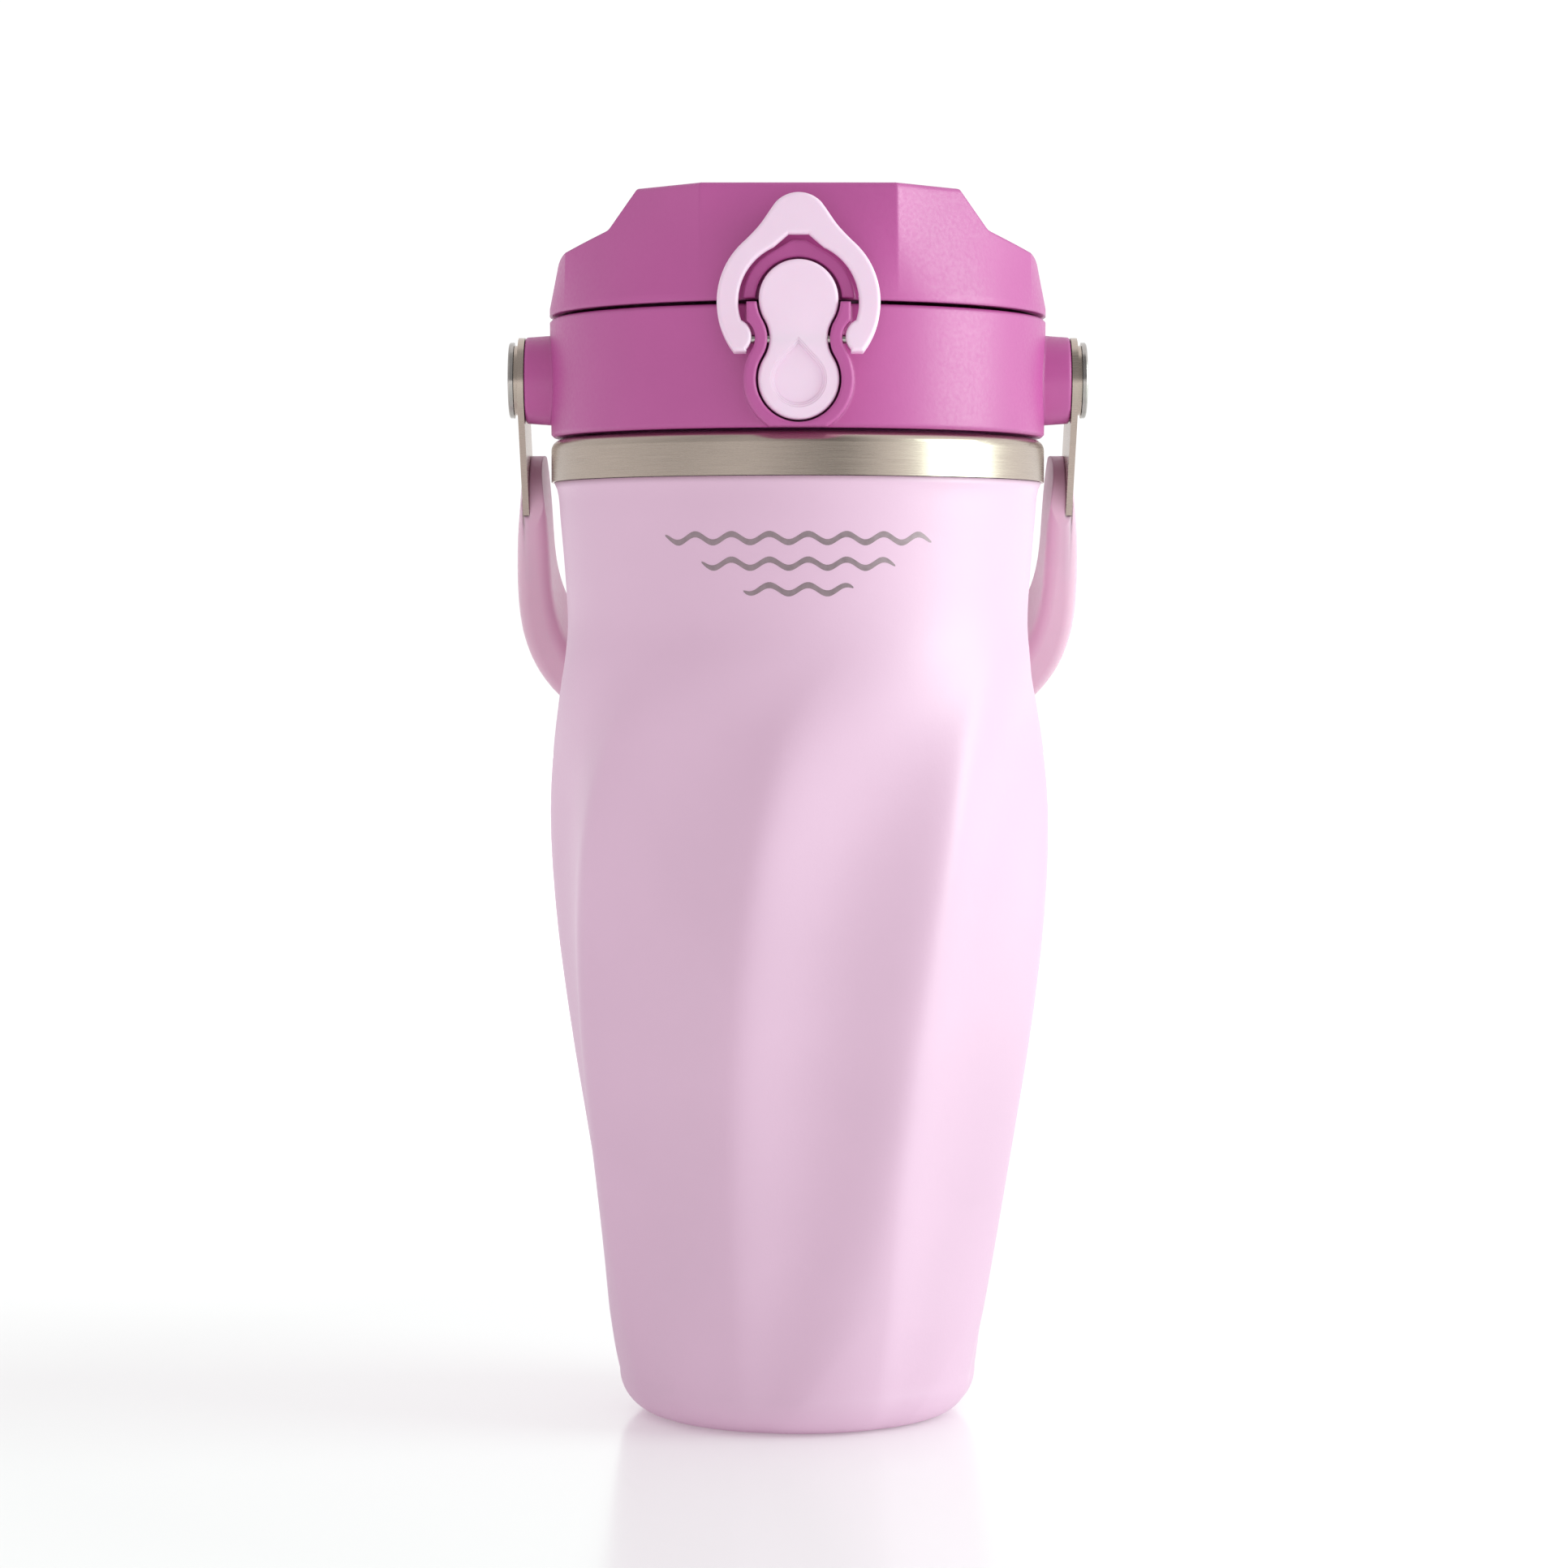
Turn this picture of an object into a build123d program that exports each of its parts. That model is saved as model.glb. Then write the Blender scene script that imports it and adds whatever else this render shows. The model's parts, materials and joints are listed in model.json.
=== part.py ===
from build123d import *
import math
import os

# Insulated protein shaker bottle with a flip-top lid and a carry handle.
# Millimetres. Origin: centre of the base on the table. +Z up, the latch faces -Y.

# ---------------------------------------------------------------- driving dimensions
TOTAL_HEIGHT = 229.5
NECK_HEIGHT = 150.0

# fluted outer wall
FLUTES = 8
SHELL_WALL = 0.7
SHELL_TOP = 176.8
BASE_CORNER = 8.0
RIDGE_START = -20.0          # angle of one ridge from the front, at the foot
RIDGE_LEAN = 14.5            # turn at TWIST_TOP, growing with the square of the height
RIDGE_CURL = 1.5             # extra turn that only shows near the shoulder
CURL_POWER = 14
CURL_LIMIT = 1.2
TWIST_BOTTOM = 15.0
TWIST_TOP = 126.0
RIDGE_ROUNDING_FOOT = 0.34   # share of half a flute over which a ridge is rounded
RIDGE_ROUNDING_TOP = 0.17
FLUTE_SLANT_FOOT = 20.0      # how much higher a flute starts at its right side than in its middle
FLUTE_SLANT_TOP = 4.0        # how much higher it ends there

# where each flute is sampled, as shares of its width from the ridge before it
FLUTE_SAMPLES = [0.0, 0.06, 0.14, 0.27, 0.42, 0.58, 0.73, 0.86, 0.94]

# height, radius at the ridges, flute depth
BODY_PROFILE = [
    (8.0, 34.0, 0.0),
    (14.0, 35.4, 0.6),
    (21.0, 37.0, 1.5),
    (36.0, 39.7, 3.2),
    (52.0, 42.3, 4.0),
    (70.0, 45.0, 4.4),
    (88.0, 47.05, 4.6),
    (101.0, 47.85, 4.65),
    (112.0, 47.95, 4.35),
    (120.0, 47.45, 3.55),
    (128.0, 46.5, 2.3),
    (135.0, 45.5, 1.05),
    (142.0, 44.6, 0.25),
    (150.0, 43.7, 0.0),
    (160.0, 44.2, 0.0),
    (170.0, 45.05, 0.0),
    (175.0, 45.5, 0.0),
    (176.8, 46.2, 0.0),
]

# steel band and inner wall
BAND_RADIUS = 46.75
BAND_BOTTOM = 176.9
BAND_TOP = 184.9
BAND_WALL = 0.7
BAND_HEM = 1.6
BAND_EDGE = 2.0
MOUTH_RADIUS = 41.6
LINER_WALL = 0.7
LINER_BOTTOM = 5.0
LINER_FLOOR_RADIUS = 20.0
LINER_CORNER = (6.5, 3.4)    # width and height of the bend between floor and side
LINER_SIDE_Z = [16, 30, 45, 60, 75, 90, 105, 120, 132, 142]
LINER_MOUTH_Z = 160.0        # straight up from here
VACUUM_GAP = 2.4
BASE_DISC_RADIUS = 24.5
BASE_DISC_THICKNESS = 1.2
BASE_DISC_EDGE = 0.4
GETTER_RADIUS = 6.0
GETTER_Z = (2.2, 3.4)

# lid thread, three starts, right-handed
THREAD_LEAD = 12.0
THREAD_STARTS = 3
THREAD_SWEEP = 200.0         # degrees that each start covers
THREAD_ROOT_WIDTH = 1.6
THREAD_CREST_WIDTH = 0.9
THREAD_HEIGHT = 1.2
THREAD_EMBED = 0.3           # depth of the ridges inside their wall
THREAD_LINER_Z = 170.0
PLUG_RADIUS = 39.9
PLUG_FLANGE_RADIUS = 42.9
GASKET_BOTTOM = 181.0
GASKET_TOP = 185.0
GASKET_EDGE = 0.3
GRID_BOTTOM = 163.4
GRID_THICKNESS = 2.0
GRID_PITCH = 8.4
GRID_HOLE_RADIUS = 3.2
GRID_ROWS = 9
GRID_RIM = 1.5

# lid collar and plug
COLLAR_BOTTOM = 185.4
COLLAR_TOP = 207.5
COLLAR_RADIUS_BOTTOM = 46.75
COLLAR_RADIUS_TOP = 47.0
COLLAR_EDGE = 0.5
DECK_TOP = 205.5
DECK_THICKNESS = 2.4
PLUG_BOTTOM = 163.0
PLUG_WALL = 2.4
PLUG_FLANGE_THICKNESS = 1.6
PLUG_EDGE = 0.8

# flip cover
COVER_BOTTOM = 208.2
COVER_RADIUS = 47.0
COVER_WALL = 2.2
FACET_START = 209.6
COVER_TOP_APOTHEM = 42.9
SHOULDER_TOP_X = 29.3
SHOULDER_INNER = (34.8, 222.2)
SHOULDER_OUTER = (45.1, 218.2)
SHOULDER_INNER_RADIUS = 2.0
SHOULDER_OUTER_RADIUS = 3.0
COVER_EDGE = 0.9

# cover hinge
HINGE_Y = 48.5
HINGE_Z = 208.0
HINGE_PIN_RADIUS = 1.0
HINGE_PIN_HALF_LENGTH = 12.9
HINGE_PIN_CHAMFER = 0.25
HINGE_RELIEF_X = 15.0        # half width of the notch behind the deck, where the knuckles sit
HINGE_RELIEF_Y = 30.0
HINGE_MOUNT = 3.4            # depth of solid cover in front of the knuckles
HINGE_MOUNT_X = 9.0
KNUCKLE_RADIUS = 3.4
KNUCKLE_CLEARANCE = 0.35
COVER_KNUCKLE_X = (3.4, 8.0)
COLLAR_EAR_X = (8.35, 12.4)
EAR_GAP = 0.3
SPRING_WIRE = 0.4
SPRING_COIL_RADIUS = 1.9
SPRING_PITCH = 1.15
SPRING_LENGTH = 5.2

# spout and vent
SPOUT_Y = -22.0
SPOUT_RADIUS = 7.5
SPOUT_HALF_LENGTH = 5.0      # straight part to each side of the centre
SPOUT_BORE_RADIUS = 5.3
SPOUT_TOP = 220.5
SPOUT_EDGE = 1.0
VENT_Y = 22.0
VENT_RADIUS = 4.0
VENT_BORE_RADIUS = 1.5
VENT_EDGE = 0.8
SEAL_LIFT = 0.4              # gap between a closed seal and its opening
SEAL_PAD_LIFT = 3.0
SEAL_PAD_RIM = 0.8

# latch: surround, button, lock ring, common pin
LATCH_PIN_Y = -49.45
LATCH_PIN_Z = 200.9
LATCH_PIN_RADIUS = 0.8
LATCH_PIN_HALF_LENGTH = 10.2
LATCH_PIN_CHAMFER = 0.2
SURROUND_FRONT = -51.2
POCKET_FLOOR = -45.9
BUTTON_FRONT = -50.8
BUTTON_BACK = -47.8
UPPER_LOBE_Z = 208.0
UPPER_LOBE_RADIUS = 7.1
LOWER_LOBE_Z = 193.8
LOWER_LOBE_RADIUS = 7.25
WAIST_CENTRE_X = 11.6282
WAIST_CENTRE_Z = 201.0439
WAIST_RADIUS = 6.45
DROP_RADIUS = 5.0
DROP_TIP_Z = 201.2
DROP_DEPTH = 0.7
DROP_SLOPE = 0.7             # width of the sloping edge round the drop
BUTTON_EDGE = 0.7
BUTTON_GAP = 0.4
NOSE_HALF_WIDTH = 2.0        # catch on the back of the button
NOSE_Z = (209.0, 211.0)
LEAF_Z = (188.5, 191.0, 196.0, 199.0)
LEAF_CROWN = 0.75
LEAF_THICKNESS = 0.3
LEAF_HALF_WIDTH = 2.2
SURROUND_TOP_X = 9.3
SURROUND_WALL = 2.6
SURROUND_WAIST_RADIUS = WAIST_RADIUS - SURROUND_WALL
SURROUND_EDGE = 0.5
ARCH_DEPTH = 7.0
ARCH_OUTER_RADIUS = 9.95
ARCH_INNER_RADIUS = 7.75
ARCH_BOTTOM = 208.3
ARCH_TIP_Z = 218.8
ARCH_TIP_X = 1.2             # half of the flat at the arch's peak
ARCH_BROW_X = 4.2
ARCH_FRONT = -48.7
ARCH_EDGE = 0.35
LATCH_LEAN = 5.7             # arch face and lock ring lean back by this many degrees
RING_CENTRE_Z = 207.3
RING_OUTER_RADIUS = 14.6
RING_INNER_RADIUS = 10.75
RING_BROW_X = 4.5
RING_INNER_TIP_Z = 219.4
RING_BACK = -47.45
RING_THICKNESS = 3.2
RING_EDGE = 0.7
RING_TIP_Z = 227.0
RING_FLANK = [(10.6, 217.3), (8.9, 219.0), (6.9, 221.2), (5.5, 223.2), (4.1, 225.2)]
RING_LEG_BOTTOM = 198.3
RING_LEG_INNER = 9.3
RING_LEG_RADIUS = 3.25
RING_RELIEF = 2.0            # how far the back of the ring is cut away, so the arch passes behind it
RING_RELIEF_X = 11.6
RING_RELIEF_Z = 208.6

# handle
PIVOT_Z = 196.3
HANDLE_REST_ANGLE = 40.0     # lean of the handle behind straight down
BOSS_RADIUS_ROOT = 8.75
BOSS_RADIUS_END = 8.15
BOSS_END_X = 51.6
BOSS_EDGE = 0.6
STRAP_INNER_X = 51.7
STRAP_THICKNESS = 1.2
STRAP_EYE_RADIUS = 8.07
STRAP_LENGTH = 42.0
STRAP_CORNER = 2.0
RIVET_SHANK_RADIUS = 3.0
RIVET_HEAD_RADIUS = 7.2
RIVET_HEAD_X = (53.75, 54.7)
RIVET_EDGE = 0.4
RIVET_GROOVE_RADII = (5.0, 5.6)
RIVET_GROOVE_DEPTH = 0.25
WASHER_X = (53.0, 53.65)
WASHER_RADIUS = 6.6
SHAFT_CLEARANCE = 0.06
SLEEVE_RADIUS = 4.4
SLEEVE_INNER_X = 43.3
GRIP_WIDTH = 17.0
# arms of the grip in the handle's plane: x, distance from the pivot
GRIP_OUTER_ARM = [(52.3, 20.3), (53.5, 26.0), (54.3, 34.0)]
GRIP_INNER_ARM = [(49.4, 20.3), (48.6, 26.0)]
# the bar that joins them: half width, depth, start below the pivot, squareness
GRIP_OUTER_BEND = (54.8, 43.3, 46.0, 2.6)
GRIP_INNER_BEND = (48.1, 42.3, 40.0, 2.6)
GRIP_BEND_ANGLES = [0, 14, 28, 42, 56, 72]
GRIP_SECTIONS = 24
GRIP_EDGE = 2.6
GRIP_EDGE_SHARE = 0.4           # of the bar's thickness, at most


# ---------------------------------------------------------------- helpers
def smooth_value(points, column, z):
    """Value of one column of a profile at height z, on a smooth curve through its points."""
    if z <= points[0][0]:
        return points[0][column]
    if z >= points[-1][0]:
        return points[-1][column]
    last = len(points) - 1
    i = max(k for k in range(last) if points[k][0] <= z)

    def slope(k):
        low = points[max(k - 1, 0)]
        high = points[min(k + 1, last)]
        return (high[column] - low[column]) / (high[0] - low[0])

    z0, z1 = points[i][0], points[i + 1][0]
    v0, v1 = points[i][column], points[i + 1][column]
    step = z1 - z0
    t = (z - z0) / step
    rise = (2 * t**3 - 3 * t**2 + 1) * v0 + (3 * t**2 - 2 * t**3) * v1
    bend = (t**3 - 2 * t**2 + t) * slope(i) + (t**3 - t**2) * slope(i + 1)
    return rise + step * bend


def ridge_angle(z):
    """Angle of one ridge from the front, towards +X."""
    climbed = (z - TWIST_BOTTOM) / (TWIST_TOP - TWIST_BOTTOM)
    climbed = min(max(climbed, 0.0), CURL_LIMIT)
    return math.radians(RIDGE_START + RIDGE_LEAN * climbed**2 + RIDGE_CURL * climbed**CURL_POWER)


def base_inset(z):
    """How far the rounded foot pulls the wall in at height z."""
    if z >= BASE_CORNER:
        return 0.0
    return BASE_CORNER - math.sqrt(BASE_CORNER**2 - (BASE_CORNER - z) ** 2)


def body_radius(z, share):
    """Radius of the wall at a height, at a share of a flute's width from the ridge before it."""
    climbed = min(z / TWIST_TOP, 1.0)
    rounding = RIDGE_ROUNDING_FOOT + (RIDGE_ROUNDING_TOP - RIDGE_ROUNDING_FOOT) * climbed
    slant = FLUTE_SLANT_FOOT + (FLUTE_SLANT_TOP - FLUTE_SLANT_FOOT) * climbed
    across = 2 * share - 1
    from_ridge = math.hypot(1 - abs(across), rounding) - rounding
    full = math.hypot(1, rounding) - rounding
    dish = 1 - (1 - from_ridge / full) ** 2
    depth = smooth_value(BODY_PROFILE, 2, z - slant * across)
    return smooth_value(BODY_PROFILE, 1, z) - depth * dish - base_inset(z)


def body_section(z, inset):
    points = []
    parameters = []
    for flute in range(FLUTES):
        for share in FLUTE_SAMPLES:
            turned = (flute + share) / FLUTES
            angle = ridge_angle(z) + 2 * math.pi * turned
            radius = body_radius(z, share) - inset
            points.append((radius * math.sin(angle), -radius * math.cos(angle), z))
            parameters.append(turned)
    # every section shares one parameterisation, so the lofted surface stays light
    return Face(Wire(Edge.make_spline(points, periodic=True, parameters=parameters + [1.0])))


def fluted_solid(heights, inset):
    return loft([body_section(z, inset) for z in heights])


def ring(outer, inner, bottom, top):
    return tube_z(outer, bottom, top) - tube_z(inner, bottom - 1, top + 1)


def tube_z(radius, bottom, top):
    return Pos(0, 0, (bottom + top) / 2) * Cylinder(radius, top - bottom)


def rod_x(radius, x0, x1, y, z):
    return Pos((x0 + x1) / 2, y, z) * Rot(0, 90, 0) * Cylinder(radius, x1 - x0)


def block(x0, x1, y0, y1, z0, z1):
    return Pos((x0 + x1) / 2, (y0 + y1) / 2, (z0 + z1) / 2) * Box(x1 - x0, y1 - y0, z1 - z0)


def revolved(points):
    """Solid of revolution about Z from (radius, height) corners."""
    return revolve(Plane.XZ * make_face(Polyline(*points, close=True)), Axis.Z)


def plate_xz(face, y_front, y_back):
    """Face drawn in the X-Z plane, as a plate from y_front (nearer the viewer) to y_back."""
    return Pos(0, y_back, 0) * extrude(Plane.XZ * face, y_back - y_front)


def thread(radius, height, start_z, turn):
    """The ridges of a multi-start thread; a positive height stands outwards."""
    embed = math.copysign(THREAD_EMBED, height)
    path = Helix(THREAD_LEAD, THREAD_LEAD * THREAD_SWEEP / 360, radius)
    root = THREAD_ROOT_WIDTH / 2
    crest = THREAD_CREST_WIDTH / 2
    outline = [(-embed, -root), (height, -crest), (height, crest), (-embed, root)]
    at_start = Plane(origin=path @ 0, x_dir=(1, 0, 0), z_dir=path % 0)
    profile = at_start * make_face(Polyline(*outline, close=True))
    start = sweep(profile, path=path, is_frenet=True)
    turns = [turn + k * 360 / THREAD_STARTS for k in range(THREAD_STARTS)]
    return [Pos(0, 0, start_z) * Rot(0, 0, angle) * start for angle in turns]


def save(shape, node):
    if isinstance(shape, (list, ShapeList)):
        shape = Compound(children=list(shape))
    export_step(shape, f"parts/{node}.step")


# ---------------------------------------------------------------- bottle
def outer_shell():
    foot = [0.0, 0.9, 3.0, 5.6]
    wall = [8.0, 12.0, 18.0, 26.0, 36.0, 48.0, 62.0, 76.0, 90.0, 102.0, 112.0]
    shoulder = [120.0, 127.0, 133.0, 139.0, 145.0, 151.0, 158.0, 167.0, 174.0]
    outside = fluted_solid(foot + wall + shoulder + [SHELL_TOP], 0.0)
    inside = fluted_solid([1.2, 3.0, 5.6] + wall + shoulder + [SHELL_TOP + 1], SHELL_WALL)
    return outside - inside - tube_z(BASE_DISC_RADIUS + 0.05, -1, 4)


def base_plate():
    disc = tube_z(BASE_DISC_RADIUS, 0, BASE_DISC_THICKNESS)
    rim = disc.edges().group_by(Axis.Z)[0]
    return fillet(rim, BASE_DISC_EDGE)


def flat_radius(z):
    """Smallest radius of the fluted wall at a height."""
    return smooth_value(BODY_PROFILE, 1, z) - smooth_value(BODY_PROFILE, 2, z)


def inner_liner():
    """Straight-walled cup that stands clear of the flutes, with the thread inside its mouth."""
    gap = SHELL_WALL + VACUUM_GAP
    side = [(flat_radius(z) - gap, z) for z in LINER_SIDE_Z]
    side += [(flat_radius(NECK_HEIGHT) - gap, NECK_HEIGHT), (MOUTH_RADIUS + LINER_WALL, LINER_MOUTH_Z)]
    bend = (side[0][0] - LINER_CORNER[0], LINER_BOTTOM + LINER_CORNER[1])
    floor_edge = (LINER_FLOOR_RADIUS, LINER_BOTTOM)
    outer = Spline(bend, *side)
    foot = Line((0, LINER_BOTTOM), floor_edge)
    corner = Spline(floor_edge, bend, tangents=[(1, 0), outer % 0])
    mouth = Line(side[-1], (MOUTH_RADIUS + LINER_WALL, BAND_TOP))
    top = Line(mouth @ 1, (0, BAND_TOP))
    axis = Line(top @ 1, (0, LINER_BOTTOM))
    full = revolve(Plane.XZ * make_face([foot, corner, outer, mouth, top, axis]), Axis.Z)
    mouth_face = full.faces().sort_by(Axis.Z)[-1]
    shell = offset(full, amount=-LINER_WALL, openings=[mouth_face])
    for start in thread(MOUTH_RADIUS, -THREAD_HEIGHT, THREAD_LINER_Z, 0):
        shell = shell + start
    return shell


def rim_band():
    """Steel channel turned inwards at its top, where it is well rounded, and hemmed at its foot."""
    inner = MOUTH_RADIUS + LINER_WALL + 0.05
    channel = [
        (inner, BAND_TOP - BAND_WALL),
        (inner, BAND_TOP),
        (BAND_RADIUS, BAND_TOP),
        (BAND_RADIUS, BAND_BOTTOM),
        (BAND_RADIUS - BAND_HEM, BAND_BOTTOM),
        (BAND_RADIUS - BAND_HEM, BAND_BOTTOM + BAND_WALL),
        (BAND_RADIUS - BAND_WALL, BAND_BOTTOM + BAND_WALL),
        (BAND_RADIUS - BAND_WALL, BAND_TOP - BAND_WALL),
    ]
    section = make_face(Polyline(*channel, close=True))
    for corner, radius in ((channel[2], BAND_EDGE), (channel[7], BAND_EDGE - BAND_WALL)):
        vertex = section.vertices().sort_by_distance((*corner, 0))[0]
        section = fillet(vertex, radius)
    return revolve(Plane.XZ * section, Axis.Z)


def vacuum_getter():
    return tube_z(GETTER_RADIUS, *GETTER_Z)


# ---------------------------------------------------------------- latch outlines
def circle_at(radius, x, z):
    return Pos(x, z) * Circle(radius)


def rectangle_at(x0, x1, z0, z1):
    return Pos((x0 + x1) / 2, (z0 + z1) / 2) * Rectangle(x1 - x0, z1 - z0)


def waist_circles(radius):
    """The two circles beside the waist, which the button, surround and ring legs all follow."""
    return [circle_at(radius, side * WAIST_CENTRE_X, WAIST_CENTRE_Z) for side in (-1, 1)]


def towards_waist(radius, lobe_z):
    """Point of a lobe's circle on the line to the right waist circle."""
    away = math.hypot(WAIST_CENTRE_X, WAIST_CENTRE_Z - lobe_z)
    return (WAIST_CENTRE_X * radius / away, lobe_z + (WAIST_CENTRE_Z - lobe_z) * radius / away)


def peanut(grow):
    """Two-lobed button outline, grown outwards by a clearance; its arcs are all tangent."""
    upper_radius = UPPER_LOBE_RADIUS + grow
    lower_radius = LOWER_LOBE_RADIUS + grow
    upper_x, upper_z = towards_waist(upper_radius, UPPER_LOBE_Z)
    lower_x, lower_z = towards_waist(lower_radius, LOWER_LOBE_Z)
    waist_x = WAIST_CENTRE_X - (WAIST_RADIUS - grow)
    upper = (0, UPPER_LOBE_Z + upper_radius)
    lower = (0, LOWER_LOBE_Z - lower_radius)
    return make_face([
        ThreePointArc((-upper_x, upper_z), upper, (upper_x, upper_z)),
        ThreePointArc((upper_x, upper_z), (waist_x, WAIST_CENTRE_Z), (lower_x, lower_z)),
        ThreePointArc((lower_x, lower_z), lower, (-lower_x, lower_z)),
        ThreePointArc((-lower_x, lower_z), (-waist_x, WAIST_CENTRE_Z), (-upper_x, upper_z)),
    ])


def mirrored_outline(half):
    """Closed face from the right-hand half of an outline, listed from top to bottom."""
    left = [(-x, z) for x, z in reversed(half)]
    return make_face(Polyline(*half, *left, close=True))


def surround_outline():
    """The button's outline one wall outwards, with straight sides above the waist."""
    lower = peanut(SURROUND_WALL) & rectangle_at(-20, 20, COLLAR_BOTTOM, WAIST_CENTRE_Z)
    upper = rectangle_at(-SURROUND_TOP_X, SURROUND_TOP_X, WAIST_CENTRE_Z, COLLAR_TOP)
    return lower + (upper - waist_circles(SURROUND_WAIST_RADIUS))


def arch_outline():
    brow_z = UPPER_LOBE_Z + math.sqrt(ARCH_OUTER_RADIUS**2 - ARCH_BROW_X**2)
    tip = mirrored_outline([(ARCH_TIP_X, ARCH_TIP_Z), (ARCH_BROW_X, brow_z), (ARCH_BROW_X, UPPER_LOBE_Z)])
    arch = circle_at(ARCH_OUTER_RADIUS, 0, UPPER_LOBE_Z) + tip
    arch = arch - circle_at(ARCH_INNER_RADIUS, 0, UPPER_LOBE_Z)
    return arch & rectangle_at(-20, 20, ARCH_BOTTOM, ARCH_TIP_Z + 1)


def lock_ring_outline():
    right = Spline(*RING_FLANK)
    left = Spline(*[(-x, z) for x, z in reversed(RING_FLANK)])
    tip_arc = ThreePointArc(right @ 1, (0, RING_TIP_Z), left @ 0)
    tab = make_face([right, tip_arc, left, Line(left @ 1, right @ 0)])
    brow_z = RING_CENTRE_Z + math.sqrt(RING_INNER_RADIUS**2 - RING_BROW_X**2)
    half_tip = [(ARCH_TIP_X + 0.6, RING_INNER_TIP_Z), (RING_BROW_X, brow_z), (RING_BROW_X, RING_CENTRE_Z)]
    outer = circle_at(RING_OUTER_RADIUS, 0, RING_CENTRE_Z) + tab
    opening = circle_at(RING_INNER_RADIUS, 0, RING_CENTRE_Z) + mirrored_outline(half_tip)
    opening = opening + rectangle_at(-RING_LEG_INNER, RING_LEG_INNER, 190, WAIST_CENTRE_Z)
    leg_ends = [outer & circle for circle in waist_circles(RING_LEG_RADIUS)]
    return (outer - opening + leg_ends) & rectangle_at(-20, 20, RING_LEG_BOTTOM, RING_TIP_Z + 1)


def leaning(shape, y):
    """Move a shape drawn against the X-Z plane to a plane that leans back from y at the lid gap."""
    return Pos(0, y, UPPER_LOBE_Z) * Rot(-LATCH_LEAN, 0, 0) * Pos(0, 0, -UPPER_LOBE_Z) * shape


# ---------------------------------------------------------------- lid
def pivot_boss(side, root):
    length = BOSS_END_X - root
    cone = Cone(BOSS_RADIUS_ROOT, BOSS_RADIUS_END, length)
    boss = Pos(side * (root + length / 2), 0, PIVOT_Z) * Rot(0, side * 90, 0) * cone
    return fillet(boss.edges().sort_by(Axis.X)[-1 if side > 0 else 0], BOSS_EDGE)


def latch_surround(back):
    """Wall round the button, rounded along the front, on a plate that closes the pocket."""
    wall = plate_xz(surround_outline() - peanut(BUTTON_GAP), SURROUND_FRONT, POCKET_FLOOR)
    front_edges = wall.faces().sort_by(Axis.Y)[0].edges()
    inside = front_edges.filter_by_position(Axis.Z, COLLAR_BOTTOM + 0.1, COLLAR_TOP - 0.1)
    return fillet(inside, SURROUND_EDGE) + plate_xz(surround_outline(), POCKET_FLOOR, back)


def lid_collar():
    inner = PLUG_FLANGE_RADIUS + 0.1
    wall = [
        (inner, COLLAR_BOTTOM),
        (COLLAR_RADIUS_BOTTOM - COLLAR_EDGE, COLLAR_BOTTOM),
        (COLLAR_RADIUS_BOTTOM, COLLAR_BOTTOM + COLLAR_EDGE),
        (COLLAR_RADIUS_TOP, COLLAR_TOP - COLLAR_EDGE),
        (COLLAR_RADIUS_TOP - COLLAR_EDGE, COLLAR_TOP),
        (inner, COLLAR_TOP),
    ]
    collar = revolved(wall) + latch_surround(-inner + 1)
    for side in (-1, 1):
        collar = collar + pivot_boss(side, inner + 0.5)
        ear_x = sorted((side * COLLAR_EAR_X[0], side * COLLAR_EAR_X[1]))
        collar = collar + rod_x(KNUCKLE_RADIUS, *ear_x, HINGE_Y, HINGE_Z)
        collar = collar + block(*ear_x, inner - 2, HINGE_Y, HINGE_Z - KNUCKLE_RADIUS, COLLAR_TOP)
    collar = collar - tube_z(inner, COLLAR_BOTTOM - 1, COLLAR_TOP + 0.01)
    relief = (HINGE_RELIEF_Y, inner - 0.2, COLLAR_BOTTOM, COLLAR_TOP + 8)
    collar = collar - block(-HINGE_RELIEF_X, HINGE_RELIEF_X, *relief)
    knuckle_x = COVER_KNUCKLE_X[1] + 0.2
    collar = collar - rod_x(KNUCKLE_RADIUS + KNUCKLE_CLEARANCE, -knuckle_x, knuckle_x, HINGE_Y, HINGE_Z)
    collar = collar - rod_x(HINGE_PIN_RADIUS + SHAFT_CLEARANCE, -20, 20, HINGE_Y, HINGE_Z)
    pocket = peanut(BUTTON_GAP) & rectangle_at(-20, 20, COLLAR_BOTTOM, COLLAR_TOP + 1)
    collar = collar - plate_xz(pocket, SURROUND_FRONT - 1, POCKET_FLOOR)
    collar = collar - rod_x(LATCH_PIN_RADIUS + SHAFT_CLEARANCE, -12, 12, LATCH_PIN_Y, LATCH_PIN_Z)
    for side in (-1, 1):
        bore = sorted((side * (inner - 1), side * (BOSS_END_X + 1)))
        collar = collar - rod_x(SLEEVE_RADIUS + 0.05, *bore, 0, PIVOT_Z)
    return collar


def slot_tube(radius, bottom, top, y):
    """Upright prism with a long round section, centred on the spout line."""
    outline = SlotCenterToCenter(2 * SPOUT_HALF_LENGTH, 2 * radius)
    return Pos(0, y, bottom) * extrude(outline, top - bottom)


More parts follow.
